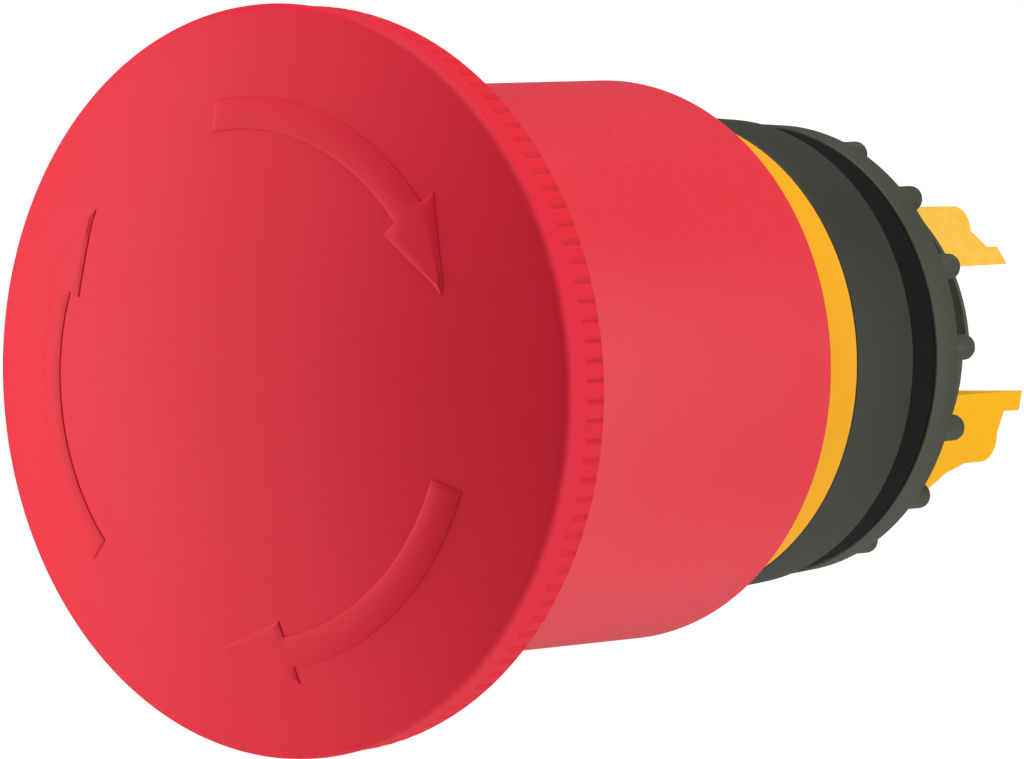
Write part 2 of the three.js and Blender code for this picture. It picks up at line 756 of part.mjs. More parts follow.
function panelGasket() {
  return tube(nutBoreR, nutBoreR + GASKET_WIDTH, gasketFrontY, 0, LARGE);
}

// Ring nut: flat front face, and rounded lugs on the rear face for the spanner.
function ringNut() {
  const outerR = nutBoreR + NUT_WIDTH;
  const rearY = GAP + NUT_THICKNESS;
  const body = turned(
    [
      [nutBoreR, GAP],
      [outerR, GAP],
      [outerR - NUT_TAPER, rearY],
      [nutBoreR, rearY],
    ],
    LARGE,
  );
  const half = LUG_WIDTH / 2;
  const crown = arc(0, LUG_HEIGHT - half, half, 0, 180, 4);
  const outline = [[half, -NUT_THICKNESS / 2], ...crown, [-half, -NUT_THICKNESS / 2]];
  const shape = new THREE.Shape(outline.map(([x, y]) => new THREE.Vector2(x, y)));
  const basis = new THREE.Matrix4().makeBasis(
    new THREE.Vector3(0, 0, 1),
    new THREE.Vector3(0, 1, 0),
    new THREE.Vector3(-1, 0, 0),
  );
  const lugs = [];
  for (let i = 0; i < NUT_LUGS; i++) {
    const lug = new THREE.ExtrudeGeometry(shape, { depth: LUG_DEPTH, bevelEnabled: false });
    lug.applyMatrix4(basis).translate(outerR - LUG_INSET, rearY, 0);
    lugs.push(lug.rotateY((2 * Math.PI * i) / NUT_LUGS));
  }
  return shaped(body, lugs, []);
}

function springWasher() {
  const outerR = returnSpringR + RETURN_WIRE / 2 + WASHER_MARGIN;
  return tube(stemBoreR, outerR, washerFrontY, washerRearY, SMALL);
}

function stemSeal() {
  const rearY = bulkheadFrontY + STEM_SEAL_THICKNESS;
  const outerR = stemBoreR + STEM_SEAL_WIDTH;
  return turned(
    [
      [stemBoreR, bulkheadFrontY + STEM_SEAL_LIP_FRONT],
      [stemBoreR, bulkheadFrontY + STEM_SEAL_LIP_REAR],
      [stemBoreR + STEM_SEAL_LIP_WIDTH, rearY],
      [outerR, rearY],
      [outerR, bulkheadFrontY],
      [stemBoreR + STEM_SEAL_LIP_WIDTH, bulkheadFrontY],
    ],
    SMALL,
  );
}

// Wiper: seated in the sleeve's groove, its lip just short of the skirt's bore.
function wiperSeal() {
  const innerR = neckR - WIPER_GROOVE_DEPTH + GAP;
  const lipR = skirtBoreR - GAP;
  const half = WIPER_THICKNESS / 2;
  return turned(
    [
      [innerR, pinY - half],
      [neckR + GAP, pinY - half],
      [lipR, pinY - WIPER_LIP / 2],
      [lipR, pinY + WIPER_LIP / 2],
      [neckR + GAP, pinY + half],
      [innerR, pinY + half],
    ],
    LARGE,
  );
}

const head = new THREE.Group();
head.add(
  piece("palm_cap", palmCap(), RED),
  piece("palm_skirt", palmSkirt(), RED),
  piece("release_cam", releaseCam(), NATURAL),
  piece("torsion_spring", torsionSpring(), STEEL),
);

const carriage = new THREE.Group();
carriage.add(
  piece("plunger", plunger(), YELLOW),
  piece("latch_carrier", latchCarrier(), NATURAL),
  piece("spring_washer", springWasher(), STEEL),
  piece("hub_clip", hubClip(), STEEL),
  piece("latch_pin_right", latchPin(1), STEEL),
  piece("latch_pin_left", latchPin(-1), STEEL),
  piece("latch_spring_right", latchSpring(1), STEEL),
  piece("latch_spring_left", latchSpring(-1), STEEL),
);

const housing = new THREE.Group();
housing.add(
  piece("threaded_bush", threadedBush(), BLACK),
  piece("latch_sleeve", latchSleeve(), BLACK),
  piece("yellow_ring", yellowRing(), YELLOW),
  piece("bezel_collar", bezelCollar(), BLACK),
  piece("panel_gasket", panelGasket(), RUBBER),
  piece("ring_nut", ringNut(), BLACK),
  piece("stem_seal", stemSeal(), RUBBER),
  piece("wiper_seal", wiperSeal(), RUBBER),
  piece("return_spring", returnSpring(), STEEL),
);

const group = new THREE.Group();
group.add(head, carriage, housing);

export default group;
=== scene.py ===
import math

import bpy
from mathutils import Matrix, Vector


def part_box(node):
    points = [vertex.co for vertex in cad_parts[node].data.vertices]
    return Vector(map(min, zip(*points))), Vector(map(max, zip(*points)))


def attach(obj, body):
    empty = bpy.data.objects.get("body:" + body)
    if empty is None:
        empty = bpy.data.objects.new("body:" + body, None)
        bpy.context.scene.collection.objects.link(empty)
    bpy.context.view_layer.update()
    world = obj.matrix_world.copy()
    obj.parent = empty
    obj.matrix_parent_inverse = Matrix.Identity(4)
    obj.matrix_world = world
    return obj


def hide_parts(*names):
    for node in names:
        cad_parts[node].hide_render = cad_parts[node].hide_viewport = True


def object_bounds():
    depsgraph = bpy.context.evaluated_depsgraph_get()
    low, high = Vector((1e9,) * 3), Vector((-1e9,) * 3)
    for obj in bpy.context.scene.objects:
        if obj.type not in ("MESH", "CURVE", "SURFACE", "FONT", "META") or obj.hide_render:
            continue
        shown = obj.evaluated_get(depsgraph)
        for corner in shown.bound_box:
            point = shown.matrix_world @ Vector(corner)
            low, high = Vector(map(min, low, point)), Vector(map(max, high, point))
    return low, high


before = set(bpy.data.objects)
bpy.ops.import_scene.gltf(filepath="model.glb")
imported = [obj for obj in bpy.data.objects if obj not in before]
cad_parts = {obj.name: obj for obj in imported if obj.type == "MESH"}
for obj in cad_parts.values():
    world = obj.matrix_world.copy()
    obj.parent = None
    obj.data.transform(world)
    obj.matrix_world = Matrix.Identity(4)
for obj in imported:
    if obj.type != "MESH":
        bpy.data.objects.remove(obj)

MM = 0.001
cad_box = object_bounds()

# ------------------------------------------------------------------ threaded bush
# The body that the rest is built on: black glass-filled polyamide, moulded in one shot. A
# flange clamps the collar, a barrel with a 22 mm thread goes through the panel, and the
# bulkhead at the flange's front carries the stem's seal.


def extent(node):
    """Lowest and highest corner of a node, in millimetres."""
    low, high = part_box(node)
    return low / MM, high / MM


def pick(piece, test, kind="vertices"):
    """In edit mode, selects the vertices, edges or faces whose places in millimetres pass the test."""
    mode = {"vertices": "VERT", "edges": "EDGE", "polygons": "FACE"}[kind]
    bpy.ops.mesh.select_mode(type=mode)
    bpy.ops.mesh.select_all(action="DESELECT")
    bpy.ops.object.mode_set(mode="OBJECT")
    corners = piece.data.vertices
    for item in getattr(piece.data, kind):
        places = [item.co] if kind == "vertices" else [corners[i].co for i in item.vertices]
        item.select = all(test(place / MM) for place in places)
    bpy.ops.object.mode_set(mode="EDIT")


def begin(name):
    """Settles a fresh primitive at the origin under its name, and opens it in edit mode."""
    piece = bpy.context.object
    piece.name = piece.data.name = name
    bpy.ops.object.transform_apply(location=True, rotation=True, scale=True)
    bpy.ops.object.mode_set(mode="EDIT")
    bpy.ops.mesh.select_mode(type="VERT")
    bpy.ops.mesh.select_all(action="SELECT")
    return piece


def close_up(piece):
    """Merges doubled points, turns the faces out and leaves edit mode."""
    bpy.ops.mesh.select_all(action="SELECT")
    bpy.ops.mesh.remove_doubles(threshold=0.0002 * MM)
    bpy.ops.mesh.normals_make_consistent(inside=False)
    bpy.ops.object.mode_set(mode="OBJECT")
    return piece


def turned(name, outline, count=192):
    """A piece turned about the axis from an outline of (radius, y) in millimetres. An outline that
    starts next to the axis is closed by its end faces, and any other one closes on itself."""
    solid_core = outline[0][0] < 1.0
    radius, y = outline[0]
    bpy.ops.object.select_all(action="DESELECT")
    bpy.ops.mesh.primitive_circle_add(
        vertices=count,
        radius=radius * MM,
        fill_type="NGON" if solid_core else "NOTHING",
        location=(0, y * MM, 0),
        rotation=(math.pi / 2, 0, 0),
    )
    piece = begin(name)
    for next_radius, next_y in outline[1:] + ([] if solid_core else outline[:1]):
        step = (0, (next_y - y) * MM, 0)
        bpy.ops.mesh.extrude_region_move(TRANSFORM_OT_translate={"value": step})
        widen = next_radius / radius
        bpy.ops.transform.resize(value=(widen, 1, widen), center_override=(0, next_y * MM, 0))
        radius, y = next_radius, next_y
    return close_up(piece)


def rounded(radius, y, size, start, end, steps=4):
    """Points of a rounded edge about (radius, y); 0 degrees points outwards and 90 to the rear."""
    turns = [math.radians(start + (end - start) * i / steps) for i in range(steps + 1)]
    return [(radius + size * math.cos(t), y + size * math.sin(t)) for t in turns]


def work(piece, kind, **settings):
    """Adds a modifier with its settings and applies it."""
    bpy.ops.object.select_all(action="DESELECT")
    piece.select_set(True)
    bpy.context.view_layer.objects.active = piece
    bpy.ops.object.modifier_add(type=kind)
    modifier = piece.modifiers[-1]
    for key, value in settings.items():
        setattr(modifier, key, value)
    bpy.ops.object.modifier_apply(modifier=modifier.name)


def ease(piece, width, sharper_than=50, segments=2):
    """Breaks the sharp edges with a small radius and shades the rest smooth."""
    if width:
        angle = math.radians(sharper_than)
        work(piece, "BEVEL", width=width * MM, segments=segments, limit_method="ANGLE", angle_limit=angle)
    bpy.ops.object.select_all(action="DESELECT")
    piece.select_set(True)
    bpy.context.view_layer.objects.active = piece
    bpy.ops.object.shade_smooth_by_angle(angle=math.radians(34))


def fuse(piece, others, operation="UNION"):
    """Welds other solids onto the piece, or cuts them out of it."""
    for other in others:
        work(piece, "BOOLEAN", object=other, operation=operation, solver="EXACT")
        bpy.data.objects.remove(other)


def brick(name, low, high):
    """A block between two corners in millimetres, to be welded on or cut away."""
    bpy.ops.object.select_all(action="DESELECT")
    middle = [(a + b) / 2 * MM for a, b in zip(low, high)]
    bpy.ops.mesh.primitive_cube_add(size=1, location=middle)
    bpy.context.object.scale = [abs(b - a) * MM for a, b in zip(low, high)]
    return close_up(begin(name))


def skin_group():
    """Skin of a moulded or drawn piece: fine grain, slow drift of tone, small change of gloss."""
    group = bpy.data.node_groups.new("fine_skin", "ShaderNodeTree")
    sides = [("INPUT", "Light Tone", "NodeSocketColor"), ("INPUT", "Deep Tone", "NodeSocketColor")]
    sides += [("INPUT", "Drift Scale", "NodeSocketFloat"), ("INPUT", "Grain Scale", "NodeSocketFloat")]
    sides += [("INPUT", "Roughness Low", "NodeSocketFloat"), ("INPUT", "Roughness High", "NodeSocketFloat")]
    sides += [("OUTPUT", "Color", "NodeSocketColor"), ("OUTPUT", "Roughness", "NodeSocketFloat")]
    sides += [("OUTPUT", "Height", "NodeSocketFloat")]
    for side, label, socket in sides:
        group.interface.new_socket(label, in_out=side, socket_type=socket)
    node = group.nodes.new
    link = group.links.new
    given, made = node("NodeGroupInput"), node("NodeGroupOutput")
    place = node("ShaderNodeTexCoord")
    drift, grain, mottle = (node("ShaderNodeTexNoise") for _ in range(3))
    drift.inputs["Detail"].default_value = 3
    grain.inputs["Detail"].default_value = 4
    mottle.inputs["Detail"].default_value = 2
    coarser = node("ShaderNodeMath")
    coarser.operation = "MULTIPLY"
    coarser.inputs[1].default_value = 0.2
    tone_mask = node("ShaderNodeMath")
    tone_mask.operation = "MULTIPLY_ADD"
    tone_mask.inputs[1].default_value = 0.45
    drift_share = node("ShaderNodeMath")
    drift_share.operation = "MULTIPLY"
    drift_share.inputs[1].default_value = 0.55
    tone = node("ShaderNodeMix")
    tone.data_type = "RGBA"
    gloss = node("ShaderNodeMapRange")
    gloss.inputs["From Min"].default_value = 0.3
    gloss.inputs["From Max"].default_value = 0.7
    for noise in (drift, grain, mottle):
        link(place.outputs["Object"], noise.inputs["Vector"])
    link(given.outputs["Drift Scale"], drift.inputs["Scale"])
    link(given.outputs["Grain Scale"], grain.inputs["Scale"])
    link(given.outputs["Grain Scale"], coarser.inputs[0])
    link(coarser.outputs[0], mottle.inputs["Scale"])
    link(mottle.outputs["Fac"], tone_mask.inputs[0])
    link(drift.outputs["Fac"], drift_share.inputs[0])
    link(drift_share.outputs[0], tone_mask.inputs[2])
    link(tone_mask.outputs[0], tone.inputs["Factor"])
    link(given.outputs["Deep Tone"], tone.inputs["A"])
    link(given.outputs["Light Tone"], tone.inputs["B"])
    link(tone.outputs["Result"], made.inputs["Color"])
    link(tone_mask.outputs[0], gloss.inputs["Value"])
    link(given.outputs["Roughness Low"], gloss.inputs["To Min"])
    link(given.outputs["Roughness High"], gloss.inputs["To Max"])
    link(gloss.outputs["Result"], made.inputs["Roughness"])
    link(grain.outputs["Fac"], made.inputs["Height"])
    return group


def wear_group():
    """Rubbed edges and corners, broken up so that no edge is rubbed evenly."""
    group = bpy.data.node_groups.new("rubbed_edges", "ShaderNodeTree")
    group.interface.new_socket("Amount", in_out="INPUT", socket_type="NodeSocketFloat")
    group.interface.new_socket("Mask", in_out="OUTPUT", socket_type="NodeSocketFloat")
    node = group.nodes.new
    link = group.links.new
    given, made = node("NodeGroupInput"), node("NodeGroupOutput")
    shape = node("ShaderNodeNewGeometry")
    place = node("ShaderNodeTexCoord")
    patches = node("ShaderNodeTexNoise")
    patches.inputs["Scale"].default_value = 900
    patches.inputs["Detail"].default_value = 3
    edge = node("ShaderNodeMapRange")
    edge.inputs["From Min"].default_value = 0.57
    edge.inputs["From Max"].default_value = 0.70
    broken, scaled = node("ShaderNodeMath"), node("ShaderNodeMath")
    broken.operation = scaled.operation = "MULTIPLY"
    link(place.outputs["Object"], patches.inputs["Vector"])
    link(shape.outputs["Pointiness"], edge.inputs["Value"])
    link(edge.outputs["Result"], broken.inputs[0])
    link(patches.outputs["Fac"], broken.inputs[1])
    link(broken.outputs[0], scaled.inputs[0])
    link(given.outputs["Amount"], scaled.inputs[1])
    link(scaled.outputs[0], made.inputs["Mask"])
    return group


fine_skin = skin_group()
rubbed_edges = wear_group()


def finish_of(name, light, deep, rubbed, roughness, grain, relief, drift=90, rub=0.8, **sockets):
    """A material with the fine skin, rubbed edges and a grain of the given relief in millimetres."""
    material = bpy.data.materials.new(name)
    material.use_nodes = True
    tree = material.node_tree
    shader = tree.nodes["Principled BSDF"]
    skin, wear = (tree.nodes.new("ShaderNodeGroup") for _ in range(2))
    skin.node_tree, wear.node_tree = fine_skin, rubbed_edges
    skin.inputs["Light Tone"].default_value = (*light, 1)
    skin.inputs["Deep Tone"].default_value = (*deep, 1)
    skin.inputs["Drift Scale"].default_value = drift
    skin.inputs["Grain Scale"].default_value = grain
    skin.inputs["Roughness Low"].default_value = roughness[0]
    skin.inputs["Roughness High"].default_value = roughness[1]
    wear.inputs["Amount"].default_value = rub
    rub_mix = tree.nodes.new("ShaderNodeMix")
    rub_mix.data_type = "RGBA"
    rub_mix.inputs["B"].default_value = (*rubbed, 1)
    bump = tree.nodes.new("ShaderNodeBump")
    bump.inputs["Strength"].default_value = 1.0
    bump.inputs["Distance"].default_value = relief * MM
    tree.links.new(wear.outputs["Mask"], rub_mix.inputs["Factor"])
    tree.links.new(skin.outputs["Color"], rub_mix.inputs["A"])
    tree.links.new(rub_mix.outputs["Result"], shader.inputs["Base Color"])
    tree.links.new(skin.outputs["Roughness"], shader.inputs["Roughness"])
    tree.links.new(skin.outputs["Height"], bump.inputs["Height"])
    tree.links.new(bump.outputs["Normal"], shader.inputs["Normal"])
    for socket, value in sockets.items():
        shader.inputs[socket.replace("_", " ")].default_value = value
    return material


def dress(piece, material, body, slot, *nodes):
    """Gives a new piece its finish and its body, and hides the nodes that it stands for. The slot is not
    used.
    """
    piece.data.materials.clear()
    piece.data.materials.append(material)
    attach(piece, body)
    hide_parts(*nodes)


# Painted light: the collar's polyamide set lighter, standing in for the light on the nut's and barrel's
# sides and lifting the barrel's shade between the nut's pegs.
black_polyamide_painted_lift = finish_of(
    "black_polyamide_painted_lift",
    light=(0.057, 0.062, 0.042),
    deep=(0.040, 0.043, 0.030),
    rubbed=(0.10, 0.105, 0.085),
    roughness=(0.42, 0.58),
    grain=7000,
    relief=0.012,
    Specular_IOR_Level=0.3,
)

bush_low, bush_high = extent("threaded_bush")
gasket_low, gasket_high = extent("panel_gasket")
seat_gap = 0.3
axis_r = 0.5
flange_r, barrel_rear = bush_high.x, bush_high.y
spigot_front = bush_low.y
flange_rear = gasket_low.y - seat_gap
flange_thickness, bulkhead_inset, spigot_length = 4.6, 0.8, 2.0
flange_front = flange_rear - flange_thickness
bulkhead_rear = flange_front + bulkhead_inset
bulkhead_front = spigot_front + spigot_length
thread_r, thread_root_r, thread_pitch, thread_turns = 11.0, 10.42, 1.5, 5
bore_r, neck_r, spigot_r, spigot_bore_r = 9.9, 12.4, 11.1, 10.2
stem_bore_r, seal_seat_r, seal_seat_depth = 4.6, 6.6, 1.5
mouth_chamfer, flange_edge, spigot_edge = 0.25, 0.15, 0.2
runout_start, runout_end, thread_truncation, mouth_plain = 0.2, 0.7, 0.1, 0.45
thread_rear = barrel_rear - mouth_plain
thread_front = thread_rear - thread_pitch * thread_turns

bush = turned(
    "bush_with_thread",
    [
        (bore_r + mouth_chamfer, barrel_rear),
        (thread_root_r - mouth_chamfer, barrel_rear),
        (thread_root_r, barrel_rear - mouth_chamfer),
        (thread_root_r, thread_front - runout_start),
        (thread_r - thread_truncation, thread_front - runout_end),
        (thread_r - thread_truncation, flange_rear),
        (flange_r - flange_edge, flange_rear),
        (flange_r, flange_rear - flange_edge),
        (flange_r, flange_front + flange_edge),
        (flange_r - flange_edge, flange_front),
        (neck_r, flange_front),
        (neck_r, bulkhead_front),
        (spigot_r, bulkhead_front),
        (spigot_r, spigot_front + spigot_edge),
        (spigot_r - spigot_edge, spigot_front),
        (spigot_bore_r, spigot_front),
        (spigot_bore_r, bulkhead_front),
        (seal_seat_r, bulkhead_front),
        (seal_seat_r, bulkhead_front + seal_seat_depth),
        (stem_bore_r, bulkhead_front + seal_seat_depth),
        (stem_bore_r, bulkhead_rear),
        (bore_r, bulkhead_rear),
        (bore_r, barrel_rear - mouth_chamfer),
    ],
)

thread_foot_r = thread_root_r - 0.15
foot_half, crest_half, thread_steps = 0.62, 0.16, 96
bpy.ops.object.select_all(action="DESELECT")
ridge_height = thread_r - thread_foot_r
ridge_place = ((thread_foot_r + ridge_height / 2) * MM, thread_front * MM, 0)
bpy.ops.mesh.primitive_plane_add(size=ridge_height * MM, location=ridge_place)
thread = begin("thread")
bpy.ops.transform.resize(value=(1, 2 * foot_half / ridge_height, 1), center_override=ridge_place)
pick(thread, lambda place: place.x > thread_r - thread_truncation)
bpy.ops.transform.resize(value=(1, crest_half / foot_half, 1), center_override=ridge_place)
pick(thread, lambda place: True, "polygons")
bpy.ops.mesh.delete(type="ONLY_FACE")
bpy.ops.object.mode_set(mode="OBJECT")
work(
    thread,
    "SCREW",
    axis="Y",
    angle=2 * math.pi,
    screw_offset=thread_pitch * MM,
    iterations=thread_turns,
    steps=thread_steps,
    render_steps=thread_steps,
)
bpy.ops.object.mode_set(mode="EDIT")
bpy.ops.mesh.select_all(action="SELECT")
bpy.ops.mesh.fill_holes(sides=4)
close_up(thread)

guide_width, guide_gap, stem_flat = 4.3, 0.3, 3.6
guides = [
    brick(
        "guide",
        (side * (stem_flat + guide_gap), bulkhead_front + seal_seat_depth, -guide_width / 2),
        (side * (stem_bore_r + guide_gap), bulkhead_rear, guide_width / 2),
    )
    for side in (-1, 1)
]
fuse(bush, [thread, *guides])
ease(bush, 0)
dress(bush, black_polyamide_painted_lift, "housing", "black_moulding", "threaded_bush")

# ------------------------------------------------------------------ latch sleeve, seals and spring
# The sleeve is pressed onto the bush's spigot; its inside is the ramp that the latch pins run
# out on. A lip seal of nitrile rubber sits on the stem and a wiper in the sleeve's groove. The
# return spring is wound from hard drawn steel wire. None of them is seen from outside.
nitrile_rubber = finish_of(
    "nitrile_rubber",
    light=(0.0058, 0.0070, 0.0066),
    deep=(0.0038, 0.0048, 0.0048),
    rubbed=(0.02, 0.022, 0.022),
    roughness=(0.6, 0.8),
    grain=4200,
    relief=0.02,
    Specular_IOR_Level=0.09,
)
spring_steel = finish_of(
    "spring_steel",
    light=(0.62, 0.63, 0.65),
    deep=(0.44, 0.44, 0.45),
    rubbed=(0.75, 0.75, 0.76),
    roughness=(0.22, 0.42),
    grain=9000,
    relief=0.004,
    drift=300,
    Metallic=1.0,
)
natural_acetal = finish_of(
    "natural_acetal",
    light=(0.72, 0.69, 0.60),
    deep=(0.60, 0.57, 0.48),
    rubbed=(0.80, 0.79, 0.74),
    roughness=(0.38, 0.5),
    grain=5000,
    relief=0.008,
    Subsurface_Weight=0.15,
    Subsurface_Scale=0.001,
)


def refinish(material, *nodes):
    """Puts a finish on nodes that keep their shape."""
    for node in nodes:
        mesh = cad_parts[node].data
        mesh.materials.clear()
        mesh.materials.append(material)


refinish(black_polyamide_painted_lift, "latch_sleeve")
refinish(nitrile_rubber, "stem_seal", "wiper_seal")
refinish(spring_steel, "return_spring")

# ------------------------------------------------------------------ yellow ring
# The ring that shows while the head is out, moulded in signal yellow and gripped between the
# sleeve and the collar. Its front edge is chamfered so that the skirt slides over it.
signal_yellow = finish_of(
    "signal_yellow",
    light=(0.86, 0.40, 0.005),
    deep=(0.80, 0.35, 0.004),
    rubbed=(0.93, 0.60, 0.12),
    roughness=(0.42, 0.55),
    grain=6500,
    relief=0.008,
    Specular_IOR_Level=0.1,
)
ring_low, ring_high = extent("yellow_ring")
ring_r, ring_bore_r, ring_chamfer, chamfer_round = ring_high.x, 12.7, 0.6, 0.1
touch, chamfer_drop = 0.02, 0.04
ring_rear = extent("bezel_collar")[0].y - touch
ring = turned(
    "yellow_indicator_ring",
    [
        (ring_bore_r, ring_rear),
        (ring_r, ring_rear),
        (ring_r, ring_low.y + ring_chamfer + chamfer_round),
        (ring_r - chamfer_drop, ring_low.y + ring_chamfer),
        (ring_r - ring_chamfer, ring_low.y + chamfer_drop),
        (ring_r - ring_chamfer - chamfer_round, ring_low.y),
        (ring_bore_r, ring_low.y),
    ],
)
ease(ring, 0)
dress(ring, signal_yellow, "housing", "yellow_moulding", "yellow_ring")

# ------------------------------------------------------------------ collar
# Black bezel that closes the front of the panel, moulded in the bush's polyamide, with a
# spark-eroded face. It tapers a little to the rear, and its lip lies on the bush's flange.
bezel_polyamide = finish_of(
    "bezel_polyamide",
    light=(0.034, 0.034, 0.025),
    deep=(0.022, 0.023, 0.017),
    rubbed=(0.075, 0.075, 0.062),
    roughness=(0.44, 0.60),
    grain=7000,
    relief=0.012,
    Specular_IOR_Level=0.3,
)
collar_low, collar_high = extent("bezel_collar")
collar_r, collar_taper, collar_bore_r, lip_bore_r = collar_high.x, 0.4, 13.5, 12.7
front_round, rear_round, lip_rear = 0.12, 0.2, flange_front - seat_gap
collar_outline = rounded(collar_r - front_round, collar_low.y + front_round, front_round, -90, 0)
tapered_r = collar_r - collar_taper
collar_outline += rounded(tapered_r - rear_round, collar_high.y - rear_round, rear_round, 0, 90, steps=3)
collar_outline += [(collar_bore_r, collar_high.y), (collar_bore_r, lip_rear)]
collar_outline += [(lip_bore_r, lip_rear), (lip_bore_r, collar_low.y)]
collar = turned("black_bezel_collar", collar_outline)
ease(collar, 0)
dress(collar, bezel_polyamide, "housing", "black_moulding", "bezel_collar")

# ------------------------------------------------------------------ panel gasket
# Flat ring of nitrile rubber between the collar and the panel, moulded with nearly square
# edges, a low lip that bears on the nut while no panel is in, and two fine beads inside the lip.
gasket_r, gasket_bore_r, bead, gasket_edge = gasket_high.x, 11.3, 0.18, 0.12
lip_width, lip_slant, outer_bead, inner_bead = 0.5, 0.05, 1.6, 0.8
gasket_front, gasket_rear = collar_high.y + touch, extent("ring_nut")[0].y - touch
gasket_outline = rounded(gasket_r - gasket_edge, gasket_front + gasket_edge, gasket_edge, -90, 0)
gasket_outline += rounded(gasket_r - gasket_edge, gasket_rear - gasket_edge, gasket_edge, 0, 90)
gasket_outline += [(gasket_r - lip_width, gasket_rear)]
gasket_outline += [(gasket_r - lip_width - lip_slant, gasket_high.y - bead)]
for bead_r in (gasket_r - outer_bead, gasket_bore_r + inner_bead):
    gasket_outline += rounded(bead_r, gasket_high.y - bead, bead, 0, 180, steps=6)
gasket_outline += [(gasket_bore_r, gasket_high.y - bead), (gasket_bore_r, gasket_front)]
gasket = turned("rubber_panel_gasket", gasket_outline)
ease(gasket, 0)
dress(gasket, nitrile_rubber, "housing", "rubber", "panel_gasket")

# ------------------------------------------------------------------ plunger with its two legs
# One yellow moulding: the stem that the head is clipped on, the disc that guides it in the
# barrel, and two stepped legs that push the contact block's coupling.
stem_low, plunger_high = extent("plunger")
skirt_low, skirt_high = extent("palm_skirt")
clip_low, clip_high = extent("hub_clip")
stem_r, stem_slot, stem_slot_depth, disc_thickness = 4.3, 1.4, 1.7, 2.5
stem_chamfer, groove_depth, disc_edge, running_gap, flat_length = 0.4, 0.7, 0.2, 0.35, 5.3
overcut = 0.3
plunger_r = bore_r - running_gap
groove_r = stem_r - groove_depth
groove_front, groove_rear = clip_low.y - seat_gap, clip_high.y + seat_gap
disc_front = bulkhead_rear + seat_gap
disc_rear = disc_front + disc_thickness
plunger = turned(
    "yellow_plunger",
    [
        (axis_r, stem_low.y),
        (stem_r - stem_chamfer, stem_low.y),
        (stem_r, stem_low.y + stem_chamfer),
        (stem_r, groove_front),
        (groove_r, groove_front),
        (groove_r, groove_rear),
        (stem_r, groove_rear),
        (stem_r, disc_front),
        (plunger_r - disc_edge, disc_front),
        (plunger_r, disc_front + disc_edge),
        (plunger_r, disc_rear - disc_edge),
        (plunger_r - disc_edge, disc_rear),
        (axis_r, disc_rear),
    ],
    count=96,
)
flats = [
    brick(
        "flat",
        (side * stem_flat, spigot_front - flat_length + spigot_length, -stem_r),
        (side * (stem_r + overcut), disc_front, stem_r),
    )
    for side in (-1, 1)
]
slot = brick(
    "slot",
    (-stem_slot / 2, stem_low.y - overcut, -stem_r - overcut),
    (stem_slot / 2, stem_low.y + stem_slot_depth, stem_r + overcut),
)
fuse(plunger, [*flats, slot], "DIFFERENCE")


def side_plate(name, outline, half_width):
    """A plate across X, drawn point by point along its side outline of (y, z) in millimetres."""
    bpy.ops.object.select_all(action="DESELECT")
    y, z = outline[0]
    start = (-half_width * MM, y * MM, z * MM)
    bpy.ops.mesh.primitive_plane_add(size=0.1 * MM, location=start)
    plate = begin(name)
    bpy.ops.mesh.merge(type="CENTER")
    for next_y, next_z in outline[1:]:
        step = (0, (next_y - y) * MM, (next_z - z) * MM)
        bpy.ops.mesh.extrude_region_move(TRANSFORM_OT_translate={"value": step})
        y, z = next_y, next_z
    bpy.ops.mesh.select_all(action="SELECT")
    bpy.ops.mesh.edge_face_add()
    bpy.ops.mesh.extrude_region_move(TRANSFORM_OT_translate={"value": (2 * half_width * MM, 0, 0)})
    return close_up(plate)


leg_half, leg_root, shoulder_r = 4.0, disc_rear - 1.0, 1.8
upper_inner, upper_outer, upper_tang = 4.7, 8.6, 5.85
upper_tip = barrel_rear + 13.0
upper_shoulder = barrel_rear + 9.3
tip_slant, step_run, step_rise = 1.0, 1.7, 1.1
slant_start, slant_end, upper_root = barrel_rear + 0.3, barrel_rear + 2.3, bore_r - 0.75
upper_outline = [(leg_root, upper_inner), (upper_tip, upper_inner), (upper_tip - tip_slant, upper_tang)]
upper_outline += [(upper_shoulder + step_run, upper_tang), (upper_shoulder, upper_tang + step_rise)]
upper_corner = (upper_shoulder - shoulder_r, upper_outer - shoulder_r)
upper_outline += rounded(*upper_corner, shoulder_r, 0, 90, steps=8)
upper_outline += [(slant_end, upper_outer), (slant_start, upper_root), (leg_root, upper_root)]

lower_inner, lower_outer, lower_tang, lower_web = 3.55, 7.95, 4.8, 9.45
lower_tip = plunger_high.y
lower_shoulder = barrel_rear + 11.5
lower_root, web_bend = 0.5 - bore_r, 0.95
root_end, web_start, web_middle, web_end = (barrel_rear + run for run in (0.4, 4.0, 6.0, 8.0))
lower_step_run, lower_tip_slant = 0.8, 0.4
lower_outline = [(leg_root, -lower_inner), (leg_root, lower_root), (root_end, lower_root)]
lower_outline += [(web_start, -lower_web), (web_middle, -lower_web + web_bend), (web_end, -lower_outer)]
lower_corner = (lower_shoulder - shoulder_r, shoulder_r - lower_outer)
lower_outline += rounded(*lower_corner, shoulder_r, -90, 0, steps=8)
lower_outline += [(lower_shoulder + lower_step_run, -lower_tang)]
lower_outline += [(lower_tip - lower_tip_slant, -lower_tang), (lower_tip, -lower_inner)]

